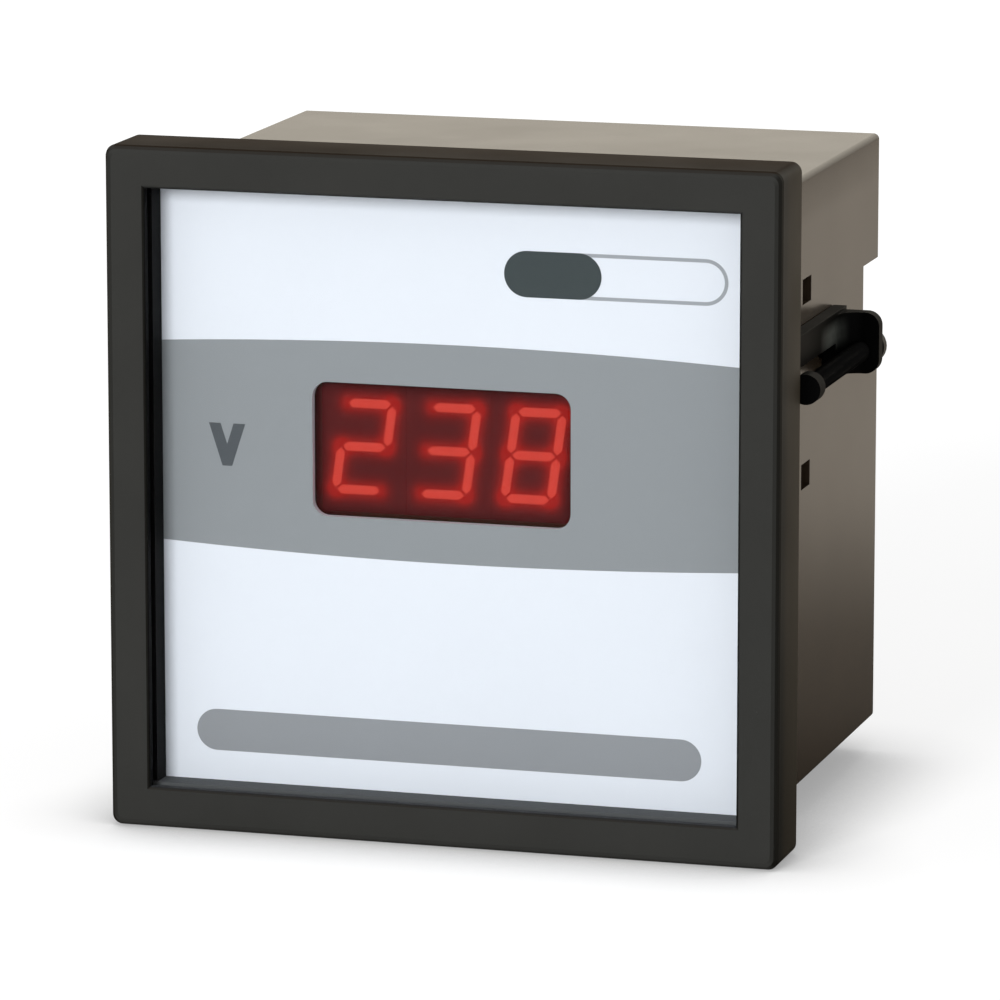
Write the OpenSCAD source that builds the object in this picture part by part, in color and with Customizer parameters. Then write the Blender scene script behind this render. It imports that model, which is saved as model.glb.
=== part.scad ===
// Square digital panel meter: moulded front frame, deep case, three lit digits,
// two boards, rear barrier terminals and a screw clamp on each side of the case.
// Origin: centre of the panel plane, where the frame's rear face meets the panel.
// +X to the right as seen from the front, +Y into the panel, +Z up. Millimetres.

/* [Front frame] */
// Outside width and height of the frame
frame_w = 96; // [92:0.5:110]
// Depth of the frame ahead of the panel
frame_d = 11; // [9:0.5:16]
// Width of the frame's rim, from its outside to the opening
rim_w = 5.8; // [5.6:0.1:9]
// Thickness of the lip that holds the window pane
lip_t = 1.4; // [1:0.1:2]
// Radius of the frame's outer corners
frame_corner_r = 1.5; // [1.2:0.1:4]
// Rounding of the frame's front edge
front_edge_r = 1; // [0.4:0.1:1.4]
// Depth of the faceplate's front behind the frame's front
recess_d = 7; // [5:0.1:8]

/* [Window and faceplate] */
// Thickness of the window pane
pane_t = 1.8; // [1:0.1:2.5]
// Thickness of the faceplate
faceplate_t = 1; // [0.8:0.1:1.4]
// Width of the display window
window_w = 37.1; // [35.4:0.1:40]
// Height of the display window
window_h = 18.9; // [17:0.1:24]
// Corner radius of the display window
window_r = 2.2; // [0.5:0.1:4]
// Sideways place of the display window's centre
window_x = -1.75; // [-4:0.05:4]
// Height of the display window's centre
window_z = 5.8; // [0:0.1:10]
// Thickness of the red filter
filter_t = 1.2; // [0.8:0.1:1.4]

/* [Digits] */
// Width of one digit module, which is also the digits' pitch
digit_w = 12.2; // [11.6:0.1:12.6]
// Height of one digit module
digit_h = 18.2; // [16.6:0.1:20]
// Depth of one digit module
digit_d = 8; // [6:0.5:9]
// Height of a figure, to the outer edges of its segments
figure_h = 13.45; // [11:0.05:14.4]
// Width of an upright figure
figure_w = 7.85; // [6:0.05:8.2]
// Width of a segment's stroke
stroke_w = 1.25; // [0.8:0.05:1.6]
// Slant of the figures
slant_deg = 8; // [0:1:10]

/* [Case] */
// Distance the frame stands out past the case at the sides
flange_side = 4.3; // [3:0.1:5]
// Distance the frame stands out past the case above and below
flange_top = 4.9; // [3:0.1:5.3]
// Depth of the case behind the panel plane
case_d = 64; // [62:1:90]
// Thickness of the case's side walls
wall_t = 2.2; // [1.8:0.1:2.4]
// Thickness of the case's rear wall
rear_t = 2.5; // [2:0.1:4]
// Radius of the case's long edges
case_edge_r = 0.8; // [0.6:0.1:2]
// Height of each entry recess in the case's rear side edges
recess_h = 14.4; // [14:0.2:22]
// Length of each entry recess, from the rear
recess_l = 9; // [6:0.5:12]
// Depth of each entry recess into the side
recess_x = 4; // [3:0.5:5]

/* [Frame latches] */
// Height of the lower latch window
latch_z = 0.9; // [-3:0.1:3]
// Height between latch windows
latch_pitch = 26.1; // [25:0.1:28]
// Height of a latch window
latch_h = 3.6; // [3:0.1:5]
// Length of a latch window
latch_l = 5; // [4:0.1:7]
// Distance from the panel plane to the far end of the latch windows
latch_y = 23.5; // [20:0.5:28]

/* [Side clamps] */
// Height of the clamps' middle
clamp_z = 17.9; // [17:0.1:19]
// Height of the bracket's plate
bracket_h = 9.2; // [9:0.1:11]
// Thickness of the bracket
bracket_t = 1.9; // [1.5:0.1:2.2]
// Height of the bracket's narrow arm
arm_h = 4.4; // [3.6:0.1:5]
// Distance from the panel plane to the bracket's upright tab
tab_y = 34; // [32:0.5:40]
// Distance the upright tab stands out from the case
tab_reach = 7.3; // [7.2:0.1:9]
// Radius of the bend between plate and tab
bend_r = 3; // [2:0.1:3.4]
// Radius of the clamp screw
clamp_screw_r = 1.5; // [1.3:0.05:1.75]
// Distance from the case's side to the clamp screw's axis
clamp_screw_x = 4.5; // [4.4:0.1:5.2]
// Drop of the clamp screw's axis below the clamp's middle
clamp_screw_drop = 1.5; // [1:0.1:1.8]
// Radius of the pressure pad
pad_r = 2.1; // [1.9:0.1:3]
// Length of the pressure pad
pad_l = 3; // [2.5:0.1:5]
// Gap between the pad and the panel plane, as drawn
pad_gap = 2.2; // [2.1:0.1:6]
// The same gap when the clamp is screwed right in
pad_min_gap = 0.6; // [0.3:0.1:1.5]

/* [Boards] */
// Thickness of both boards
board_t = 1.6; // [1.2:0.1:1.8]
// Height of the main board's underside above the case's floor
board_rise = 6.6; // [5:0.1:8]
// Gap between the display board and the case's sides
display_board_gap = 3.1; // [2:0.1:6]

/* [Rear terminals] */
// Number of terminals
poles = 4; // [2:1:6]
// Distance between terminals
pole_pitch = 9.6; // [9:0.1:11]
// Thickness of the barriers between terminals
barrier_t = 1.6; // [1.2:0.1:2]
// Distance the terminal block stands out behind the case
block_out = 11; // [10:0.5:14]
// Height of the terminal block's rear part
block_h = 12.6; // [12:0.1:15]
// Height of the terminal screws above the main board
pole_rise = 11; // [10:0.1:14]
// Radius of the terminal screws' shanks
terminal_screw_r = 1.6; // [1.2:0.05:1.75]
// Travel of the terminal screws
terminal_travel = 3; // [2:0.1:4]

/* [Hidden] */
$fn = 48;

eps = 0.01;
// Clearances: faces that only rest on each other, pieces that slot together, threads
rest_gap = 0.05;
fit_gap = 0.2;
thread_gap = 0.05;

// Front stack, from the frame's lip back to the case's rim
opening_w = frame_w - 2 * rim_w;
case_w = frame_w - 2 * flange_side;
case_h = frame_w - 2 * flange_top;
cavity_w = case_w + 2 * fit_gap;
cavity_h = case_h + 2 * fit_gap;
inset_w = cavity_w - fit_gap;
inset_h = cavity_h - fit_gap;
pane_y = -frame_d + lip_t + rest_gap;
faceplate_y = -frame_d + recess_d;
spacer_y = pane_y + pane_t + rest_gap;
filter_y = faceplate_y + faceplate_t + rest_gap;
rim_y = filter_y;
digit_y = filter_y + filter_t + rest_gap;
display_board_y = digit_y + digit_d + rest_gap;
opening_bevel = 0.35;
filter_margin = 2.4;

// Inside of the case
inner_w = case_w - 2 * wall_t;
inner_h = case_h - 2 * wall_t;
inner_y = case_d - rear_t;
floor_z = -inner_h / 2;

// Figures
pocket_d = 0.6;
figure_x = [for (i = [-1:1]) window_x + 0.4 + i * digit_w];
figure_z = window_z + 0.15;
segment_gap = 0.25;
point_r = 0.7;
slant = tan(slant_deg);
figures = [2, 3, 8];
// Segments in the order top, upper right, lower right, bottom, lower left, upper left, middle
figure_lit = [
    [1, 1, 1, 1, 1, 1, 0], [0, 1, 1, 0, 0, 0, 0], [1, 1, 0, 1, 1, 0, 1], [1, 1, 1, 1, 0, 0, 1],
    [0, 1, 1, 0, 0, 1, 1], [1, 0, 1, 1, 0, 1, 1], [1, 0, 1, 1, 1, 1, 1], [1, 1, 1, 0, 0, 0, 0],
    [1, 1, 1, 1, 1, 1, 1], [1, 1, 1, 1, 0, 1, 1]];

// Boards
board_z = floor_z + board_rise;
board_top = board_z + board_t;
board_space = 2;
board_rear_gap = 1.5;
main_board_y = display_board_y + board_t + board_space;
main_board_l = inner_y - board_rear_gap - main_board_y;
rail_w = 2.4;
rail_t = 1.8;
main_board_w = inner_w - 2 * fit_gap - 1;
edge_x = main_board_w / 2;
display_board_w = inner_w - 2 * display_board_gap;
display_board_drop = 2;
display_board_top_gap = 3.4;
display_board_z = board_z - display_board_drop;
display_board_h = inner_h / 2 - display_board_top_gap - display_board_z;
post_w = 6;
post_margin = 2.4;
post_screw_x = display_board_w / 2 - post_margin;
post_in_x = post_screw_x - post_w / 2;
post_top = 6.4;
post_bottom = 28.8;
post_z = [inner_h / 2 - post_top, -inner_h / 2 + post_bottom];
board_screw_r = 1.1;
board_screw_l = 6;
board_screw_head_r = 2.1;
board_screw_head_l = 1.4;
board_screw_slot_w = 0.6;
pin_pitch = 2.54;
pin_count = 12;
pin_w = 0.64;
header_h = 2.5;
header_z = board_top + rest_gap + header_h / 2;
header_front_gap = 1;
header_y = main_board_y + header_front_gap;
pin_reach = 2;
pin_end_y = header_y + header_h + pin_reach;
pin_poke = 1;

// Converter chip behind the display board
chip_end = 0.2;
chip_t = 4;
chip_h = 13.6;
chip_drop = 18;
chip_stand = 0.5;
chip_legs = 20;
chip_w = chip_legs * pin_pitch + chip_end;
chip_leg_w = 0.6;
chip_leg_t = 0.25;
chip_leg_out = 0.6;
chip_notch_r = 1.4;

// Front of the terminal block, inside the case
block_in = 11;
block_y = inner_y - block_in;

// Transformer core with two windows, whose winding sits on the middle leg
core_w = 36;
core_h = 30;
core_t = 14;
core_leg = 6;
core_yoke = 6;
core_mid = 12;
core_gap_w = (core_w - core_mid) / 2 - core_leg;
core_side_gap = 1.6;
core_x = -post_in_x + core_side_gap + core_w / 2;
core_y = (pin_end_y + block_y) / 2;
core_z = board_top + rest_gap + core_h / 2;

coil_flange = 1.2;
coil_corner_r = 2.5;

// Two capacitors, one large and one small
can_x = 15;
can_r = 5;
can_h = 16;
can_y = core_y - can_r - 3;
small_can_r = 4;
small_can_h = 12;
small_can_y = core_y + small_can_r + 0.5;
can_edge = 0.5;
can_groove = 1.6;

// Parts with leads at both ends, in rows beside the capacitors
row_count = 4;
row_pitch = 3.6;
row_edge_gap = 3.8;
row_x = edge_x - row_edge_gap - (row_count - 1) * row_pitch;
lead_l = 2.5;
diode_r = 1.35;
diode_l = 5;
diode_lead_r = 0.4;
resistor_r = 1.2;
resistor_l = 6.4;
resistor_lead_r = 0.3;
row_gap = 2.3;
resistor_y = core_y - 1;
diode_y = resistor_y - resistor_l / 2 - diode_l / 2 - 2 * lead_l - row_gap;

// Voltage regulator, just ahead of the terminal block
reg_x = 14;
reg_w = 10;
reg_leg_h = 3;
reg_leg_w = 0.8;
reg_body_t = 4.5;
reg_body_h = 9;
reg_tab_t = 1.3;
reg_tab_h = 15.4;
reg_hole_r = 1.85;
reg_gap = 0.5;
reg_y = block_y - reg_body_t - reg_gap;

// Varistor and crystal near the left edge of the main board
varistor_r = 5;
varistor_t = 4;
varistor_rise = 1.5;
varistor_lead_r = 0.4;
edge_gap = 3.2;
edge_part_x = -edge_x + edge_gap + varistor_r;
varistor_y = block_y - varistor_t / 2 - 1;
crystal_w = 10.6;
crystal_l = 4.6;
crystal_h = 3.4;
crystal_gap = 6;
crystal_y = main_board_y + crystal_gap;

// Calibration trimmer near the right edge of the main board
trimmer_w = 9.5;
trimmer_h = 5;
rotor_r = 2.8;
rotor_h = 1.4;
trimmer_edge_gap = 4.8;
trimmer_x = edge_x - trimmer_edge_gap - trimmer_w / 2;
trimmer_rear_gap = 7.2;
trimmer_y = main_board_y + main_board_l - trimmer_rear_gap - trimmer_w / 2;

// Latches
latch_rows = [latch_z + latch_pitch, latch_z];
latch_arm_w = latch_h + 1.8;
latch_arm_t = 1.6;
latch_nub = wall_t - 0.5;
latch_arm_x = inner_w / 2 - fit_gap;

// Clamps, for the right side
side_x = case_w / 2;
plate_x = side_x + rest_gap * 2;
screw_x = side_x + clamp_screw_x;
screw_z = clamp_z - clamp_screw_drop;
plate_z0 = clamp_z - bracket_h / 2;
plate_z1 = clamp_z + bracket_h / 2;
arm_y = 8;
tab_t = 2.1;
plate_l = tab_t + 0.3;
tab_corner_r = 2;
hook_neck = 3;
hook_lip = 2;
hook_t = 1.6;
hook_gap = 0.15;
hook_h = arm_h - 0.8;
// Heights of the two hooks: the front one on the arm, the rear one under the plate
hook_zs = [plate_z1 - arm_h / 2, clamp_z];
hook_y = [arm_y + 2.5, tab_y - 3.5];
screw_head_r = 2.6;
screw_head_l = 2;
screw_head_y = tab_y + tab_t + 0.3 + pad_gap - pad_min_gap;
tip_r = clamp_screw_r * 0.6;
tip_l = pad_l - 1;
slot_w = 0.8;

// Terminals
block_w = poles * pole_pitch + barrier_t;
block_end = case_d + block_out;
pole_z = board_top + pole_rise;
block_z0 = pole_z - block_h / 2;
block_z1 = pole_z + block_h / 2;
contact_t = 1.2;
washer_w = 6.4;
washer_t = 1;
terminal_head_r = 2.9;
terminal_head_l = 2.1;
// Floor of the compartments, far enough in for the screws to back out inside them
floor_y = block_end - terminal_travel - terminal_head_l - washer_t - contact_t - 1.1;
contact_y = floor_y + rest_gap;
washer_y = contact_y + contact_t + 0.1;
terminal_shank_l = 8;
tail_w = 1.2;
tail_t = 0.8;
tail_z = pole_z - block_h / 2 + 1.6;
tail_y = block_y + 1.6;

// ---- helpers ----

// Extrudes a profile drawn in X and Z from y0 back to y1
module along_y(y0, y1) {
    translate([0, y1, 0]) rotate([90, 0, 0]) linear_extrude(y1 - y0) children();
}

// Box between two values on each axis
module box(x, y, z) {
    translate([x[0], y[0], z[0]]) cube([x[1] - x[0], y[1] - y[0], z[1] - z[0]]);
}

// Cylinder along Y from y0 back to y1
module rod_y(x, z, y0, y1, r) {
    translate([x, y1, z]) rotate([90, 0, 0]) cylinder(h = y1 - y0, r = r);
}

// Rectangle with rounded corners, centred
module round_rect(w, h, r) {
    square([w - 2 * r, h], center = true);
    square([w, h - 2 * r], center = true);
    for (x = [-1, 1], z = [-1, 1]) translate([x * (w / 2 - r), z * (h / 2 - r)]) circle(r);
}

// Draws its children on the right side, or mirrored on the left
module on_side(side) {
    if (side > 0) children();
    else mirror([1, 0, 0]) children();
}

// ---- front ----

// Front slab of the frame, rounded towards the front in three bands
module rounded_front() {
    bands = 3;
    for (i = [0:bands - 1]) hull() for (a = [i, i + 1] * 90 / bands) {
        shrink = front_edge_r * (1 - sin(a));
        y = -frame_d + front_edge_r * (1 - cos(a));
        along_y(y, y + eps)
            round_rect(frame_w - 2 * shrink, frame_w - 2 * shrink, frame_corner_r - shrink / 2);
    }
}

// Bevelled mouth of the frame's opening
module opening_mouth() {
    half = opening_w / 2;
    profile = [[-half - opening_bevel, -frame_d], [half + opening_bevel, -frame_d],
        [half, -frame_d + opening_bevel], [-half, -frame_d + opening_bevel]];
    intersection() {
        translate([0, 0, -frame_w / 2]) linear_extrude(frame_w) polygon(profile);
        rotate([0, 90, 0]) translate([0, 0, -frame_w / 2]) linear_extrude(frame_w) polygon(profile);
    }
}

// One springy arm that reaches back inside the case to its window
module latch_arm(z) {
    tip = latch_y + 1.5;
    box([latch_arm_x - latch_arm_t, latch_arm_x], [-2.6, tip],
        [z - latch_arm_w / 2, z + latch_arm_w / 2]);
    // Foot that ties the arm to the frame's rear, through a slot in the case's rim
    box([latch_arm_x - latch_arm_t, cavity_w / 2 + 1], [-2.6, -0.4],
        [z - latch_arm_w / 2, z + latch_arm_w / 2]);
    // Wedge that clicks into the window
    translate([0, 0, z - latch_h / 2 + fit_gap]) linear_extrude(latch_h - 2 * fit_gap)
        polygon([[latch_arm_x - eps, latch_y - latch_l + fit_gap],
            [latch_arm_x + latch_nub, latch_y - latch_l + fit_gap],
            [latch_arm_x + latch_nub, latch_y - latch_l + 2], [latch_arm_x - eps, latch_y - fit_gap]]);
}

module bezel() {
    color("#3b3a38") union() {
        difference() {
            union() {
                rounded_front();
                along_y(-frame_d + front_edge_r, 0) round_rect(frame_w, frame_w, frame_corner_r);
            }
            opening_mouth();
            along_y(-frame_d - 1, 1) square([opening_w, opening_w], center = true);
            along_y(-frame_d + lip_t, 1) square([cavity_w, cavity_h], center = true);
        }
        for (side = [-1, 1], z = latch_rows) on_side(side) latch_arm(z);
    }
}

module window_pane() {
    color([0.85, 0.9, 0.95, 0.15]) along_y(pane_y, pane_y + pane_t)
        square([inset_w, inset_h], center = true);
}

module spacer_frame() {
    color("#121212") along_y(spacer_y, faceplate_y - rest_gap) difference() {
        square([inset_w, inset_h], center = true);
        square([opening_w, opening_w], center = true);
    }
}

module faceplate() {
    color("#e8eef6") along_y(faceplate_y, faceplate_y + faceplate_t) difference() {
        square([inset_w, inset_h], center = true);
        translate([window_x, window_z]) round_rect(window_w, window_h, window_r);
    }
}

module display_filter() {
    color([0.35, 0.05, 0.04, 0.7]) along_y(filter_y, filter_y + filter_t)
        translate([window_x, window_z])
            square([window_w + 2 * filter_margin, window_h + 2 * filter_margin], center = true);
}

// ---- digits ----

// A point of an upright figure, slanted
function lean(p) = [p[0] + p[1] * slant, p[1]];

// Six-sided bar between two points on a figure's centre line
module bar(a, b) {
    len = norm(b - a);
    u = (b - a) / len;
    n = [-u[1], u[0]];
    s = stroke_w / 2;
    p = a + u * segment_gap;
    q = b - u * segment_gap;
    polygon([for (v = [p, p + (u + n) * s, q + (n - u) * s, q, q - (n + u) * s, p + (u - n) * s]) lean(v)]);
}

// Profile of one segment, by its place in the list of segments
module segment(i) {
    x = (figure_w - stroke_w) / 2;
    z = (figure_h - stroke_w) / 2;
    ends = [[[-x, z], [x, z]], [[x, z], [x, 0]], [[x, 0], [x, -z]], [[-x, -z], [x, -z]],
        [[-x, -z], [-x, 0]], [[-x, 0], [-x, z]], [[-x, 0], [x, 0]]];
    bar(ends[i][0], ends[i][1]);
}

// Round point at the lower right of a figure
module point_spot() {
    translate(lean([figure_w / 2 + 0.9, -figure_h / 2 + point_r])) circle(point_r, $fn = 20);
}

module digit_body(i) {
    x = figure_x[i];
    color("#4a1a16") difference() {
        along_y(digit_y, digit_y + digit_d) translate([x, window_z])
            square([digit_w - rest_gap, digit_h], center = true);
        for (s = [0:6]) along_y(digit_y - 1, digit_y + pocket_d) translate([x, figure_z]) segment(s);
        along_y(digit_y - 1, digit_y + pocket_d) translate([x, figure_z]) point_spot();
    }
}

// Light pipes of all digits that are lit (state 1) or dark (state 0)
module light_pipes(state) {
    along_y(digit_y - rest_gap / 2, digit_y + pocket_d - rest_gap) for (i = [0:2]) {
        for (s = [0:6]) if (figure_lit[figures[i]][s] == state)
            translate([figure_x[i], figure_z]) segment(s);
        if (state == 0) translate([figure_x[i], figure_z]) point_spot();
    }
}

module lit_segments() {
    color("#ff3a1c") light_pipes(1);
}

module dark_segments() {
    color("#5a1712") light_pipes(0);
}

// ---- boards and what they carry ----

// Square pins or holes in a row along X, as a profile seen from the front
module pin_row(w) {
    for (i = [0:pin_count - 1]) translate([(i - (pin_count - 1) / 2) * pin_pitch, 0])
        square([w, w], center = true);
}

module display_board() {
    color("#2d6b3c") difference() {
        box([-display_board_w / 2, display_board_w / 2], [display_board_y, display_board_y + board_t],
            [display_board_z, display_board_z + display_board_h]);
        for (x = [-1, 1], z = post_z)
            rod_y(x * post_screw_x, z, display_board_y - 1, display_board_y + board_t + 1,
                board_screw_r + fit_gap);
        along_y(display_board_y - 1, display_board_y + board_t + 1)
            translate([0, header_z]) pin_row(pin_w + fit_gap);
    }
}

module board_screw(x, z) {
    head_y = display_board_y - rest_gap;
    top_y = head_y - board_screw_head_l;
    difference() {
        union() {
            rod_y(x, z, top_y, head_y, board_screw_head_r);
            rod_y(x, z, head_y - eps, head_y + board_screw_l, board_screw_r);
        }
        box([x - board_screw_head_r - 1, x + board_screw_head_r + 1],
            [top_y - 1, top_y + board_screw_head_l / 2],
            [z - board_screw_slot_w / 2, z + board_screw_slot_w / 2]);
    }
}

module board_screws() {
    color("#b8bcc0") for (x = [-1, 1], z = post_z) board_screw(x * post_screw_x, z);
}

// One bent leg on the upper (side 1) or lower (side -1) edge of the chip
module chip_leg(side, y) {
    out = chip_h / 2 + chip_leg_out;
    bend_y = y + chip_t / 2;
    w = [-chip_leg_w / 2, chip_leg_w / 2];
    mirror([0, 0, side > 0 ? 0 : 1]) {
        box(w, [y - chip_stand + rest_gap, bend_y + chip_leg_t / 2], [out - chip_leg_t, out]);
        box(w, [bend_y - chip_leg_t / 2, bend_y + chip_leg_t / 2], [chip_h / 2 - 1, out - chip_leg_t / 2]);
    }
}

module converter_chip() {
    y = display_board_y + board_t + chip_stand;
    color("#1c1c1e") translate([0, 0, window_z - chip_drop]) difference() {
        union() {
            box([-chip_w / 2, chip_w / 2], [y, y + chip_t], [-chip_h / 2, chip_h / 2]);
            for (i = [0:chip_legs - 1], side = [-1, 1])
                translate([(i - (chip_legs - 1) / 2) * pin_pitch, 0, 0]) chip_leg(side, y);
        }
        // Half-round notch that marks the first leg
        rod_y(-chip_w / 2, 0, y + chip_t - 0.6, y + chip_t + 1, chip_notch_r);
    }
}

module board_header() {
    w = pin_count * pin_pitch;
    color("#202022") union() {
        box([-w / 2, w / 2], [header_y, header_y + header_h],
            [header_z - header_h / 2, header_z + header_h / 2]);
        along_y(display_board_y - pin_poke, pin_end_y) translate([0, header_z]) pin_row(pin_w);
        for (i = [0:pin_count - 1]) translate([(i - (pin_count - 1) / 2) * pin_pitch, 0, 0])
            box([-pin_w / 2, pin_w / 2], [pin_end_y - pin_w, pin_end_y],
                [board_z - pin_poke, header_z]);
    }
}

module main_board() {
    color("#2d6b3c") difference() {
        box([-main_board_w / 2, main_board_w / 2], [main_board_y, main_board_y + main_board_l],
            [board_z, board_top]);
        for (i = [0:pin_count - 1]) translate([(i - (pin_count - 1) / 2) * pin_pitch, 0, 0])
            box([-pin_w / 2 - 0.1, pin_w / 2 + 0.1],
                [pin_end_y - pin_w - 0.1, pin_end_y + 0.1], [board_z - 1, board_top + 1]);
        for (i = [0:poles - 1]) translate([pole_x(i), 0, 0])
            box([-tail_w / 2 - 0.15, tail_w / 2 + 0.15], [tail_y - 0.15, tail_y + tail_t + 0.15],
                [board_z - 1, board_top + 1]);
    }
}

module transformer_core() {
    color("#5b5e63") along_y(core_y - core_t / 2, core_y + core_t / 2) translate([core_x, core_z])
        difference() {
            square([core_w, core_h], center = true);
            for (s = [-1, 1]) translate([s * (core_mid + core_gap_w) / 2, 0])
                square([core_gap_w, core_h - 2 * core_yoke], center = true);
        }
}

module transformer_winding() {
    coil_w = core_mid + 2 * (core_gap_w - fit_gap);
    coil_t = core_t + 2 * (core_gap_w - fit_gap);
    coil_h = core_h - 2 * core_yoke - 2 * rest_gap;
    color("#9a6a2c") translate([core_x, core_y, core_z - coil_h / 2]) difference() {
        union() {
            translate([0, 0, coil_flange - eps]) linear_extrude(coil_h - 2 * coil_flange + 2 * eps)
                round_rect(coil_w - coil_flange, coil_t - coil_flange, coil_corner_r);
            for (z = [0, coil_h - coil_flange]) translate([0, 0, z]) linear_extrude(coil_flange)
                square([coil_w, coil_t], center = true);
        }
        translate([0, 0, coil_h / 2])
            cube([core_mid + 2 * rest_gap, core_t + 2 * rest_gap, coil_h + 1], center = true);
    }
}

// Sealed can with a crimp groove and a rounded top edge
module can(r, h) {
    e = can_edge;
    g = can_groove;
    rotate_extrude() polygon([[0, 0], [r - e / 2, 0], [r, e / 2], [r, g], [r - e, g + e], [r, g + 2 * e],
        [r, h - e], [r - e, h], [0, h]]);
}

module filter_capacitors() {
    color("#24324e") translate([can_x, 0, board_top + rest_gap]) {
        translate([0, can_y, 0]) can(can_r, can_h);
        translate([0, small_can_y, 0]) can(small_can_r, small_can_h);
    }
}

// Component with axial leads along Y, bent down into the board
module axial(x, y, r, len, lead_r) {
    z = board_top + r + lead_r;
    for (s = [-1, 1]) {
        end = y + s * (len / 2 + lead_l);
        rod_y(x, z, min(end, y), max(end, y), lead_r);
        translate([x, end - s * lead_r, board_top + rest_gap])
            cylinder(h = z - board_top - rest_gap, r = lead_r, $fn = 16);
    }
    rod_y(x, z, y - len / 2, y + len / 2, r);
}

module rectifier_diodes() {
    color("#1e1e20") for (i = [0:row_count - 1])
        axial(row_x + i * row_pitch, diode_y, diode_r, diode_l, diode_lead_r);
}

module divider_resistors() {
    color("#7ba3b8") for (i = [0:row_count - 1])
        axial(row_x + i * row_pitch, resistor_y, resistor_r, resistor_l, resistor_lead_r);
}

module voltage_regulator() {
    z = reg_leg_h;
    color("#2a2a2c") translate([reg_x, reg_y, board_top + rest_gap]) union() {
        for (i = [-1:1])
            box([i * pin_pitch - reg_leg_w / 2, i * pin_pitch + reg_leg_w / 2],
                [reg_body_t - 2 * reg_leg_w, reg_body_t - reg_leg_w], [0, z + eps]);
        // Moulded body, and the metal tab with its hole
        box([-reg_w / 2, reg_w / 2], [reg_tab_t - eps, reg_body_t], [z, z + reg_body_h]);
        difference() {
            box([-reg_w / 2, reg_w / 2], [0, reg_tab_t], [z, z + reg_tab_h]);
            rod_y(0, z + (reg_body_h + reg_tab_h) / 2, -1, reg_tab_t + 1, reg_hole_r);
        }
    }
}

module varistor() {
    color("#2f5fa8") translate([edge_part_x, varistor_y, board_top + rest_gap]) union() {
        rod_y(0, varistor_r + varistor_rise, -varistor_t / 2, varistor_t / 2, varistor_r);
        for (s = [-1, 1]) translate([s * varistor_r / 2, s * varistor_lead_r, 0])
            cylinder(h = 2 * varistor_rise, r = varistor_lead_r, $fn = 16);
    }
}

module crystal() {
    color("#c9ccd0") translate([edge_part_x, crystal_y, board_top + rest_gap])
        linear_extrude(crystal_h) round_rect(crystal_w, crystal_l, crystal_l / 2 - 0.1);
}

module trimmer_body() {
    color("#3468b0") translate([trimmer_x, trimmer_y, board_top + rest_gap]) difference() {
        linear_extrude(trimmer_h) square(trimmer_w, center = true);
        translate([0, 0, trimmer_h - 1]) cylinder(h = 2, r = rotor_r + 0.1);
    }
}

module trimmer_rotor() {
    z = board_top + rest_gap + trimmer_h - 1 + rest_gap;
    color("#e9e9e4") translate([trimmer_x, trimmer_y, z]) difference() {
        cylinder(h = rotor_h, r = rotor_r);
        translate([0, 0, rotor_h]) cube([2 * rotor_r + 1, 0.7, 1.2], center = true);
    }
}

// ---- case ----

// Space taken out of one rear side edge, grown by a wall on the inside
module entry_recess(grow) {
    box([side_x - recess_x - grow, side_x + 1], [case_d - recess_l - grow, case_d + 1],
        [clamp_z - recess_h / 2 - grow, clamp_z + recess_h / 2 + grow]);
}

// Openings in one side wall: frame latches and bracket hooks
module side_openings() {
    for (z = latch_rows) {
        box([inner_w / 2 - 1, side_x + 1], [latch_y - latch_l, latch_y], [z - latch_h / 2, z + latch_h / 2]);
        box([inner_w / 2 - 1, side_x + 1], [rim_y - 1, -0.3],
            [z - latch_arm_w / 2 - fit_gap, z + latch_arm_w / 2 + fit_gap]);
    }
    for (i = [0:1])
        box([inner_w / 2 - 1, side_x + 1],
            [hook_y[i] - hook_lip - 2 * hook_gap, hook_y[i] + hook_neck + hook_gap],
            [hook_zs[i] - hook_h / 2 - hook_gap, hook_zs[i] + hook_h / 2 + hook_gap]);
}

module case() {
    color("#4c4841") difference() {
        union() {
            difference() {
                along_y(rim_y, case_d) round_rect(case_w, case_h, case_edge_r);
                difference() {
                    along_y(rim_y - 1, inner_y) square([inner_w, inner_h], center = true);
                    for (side = [-1, 1]) on_side(side) entry_recess(wall_t);
                }
            }
            // Posts for the display board and rails for the main board
            for (side = [-1, 1]) on_side(side) {
                for (z = post_z) box([post_in_x, inner_w / 2 + eps],
                    [display_board_y + board_t + rest_gap, inner_y + eps], [z - post_w / 2, z + post_w / 2]);
                for (z = [board_z - rest_gap - rail_t, board_top + rest_gap])
                    box([inner_w / 2 - rail_w, inner_w / 2 + eps], [main_board_y + 1, inner_y + eps],
                        [z, z + rail_t]);
            }
        }
        for (side = [-1, 1]) on_side(side) {
            entry_recess(0);
            side_openings();
            for (z = post_z) rod_y(post_screw_x, z, display_board_y, display_board_y + board_screw_l + 4,
                board_screw_r + thread_gap);
        }
        // Opening for the terminal block
        box([-block_w / 2 - fit_gap, block_w / 2 + fit_gap], [inner_y - 1, case_d + 1],
            [block_z0 - fit_gap, block_z1 + fit_gap]);
    }
}

// ---- terminals ----

function pole_x(i) = (i - (poles - 1) / 2) * pole_pitch;

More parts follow.
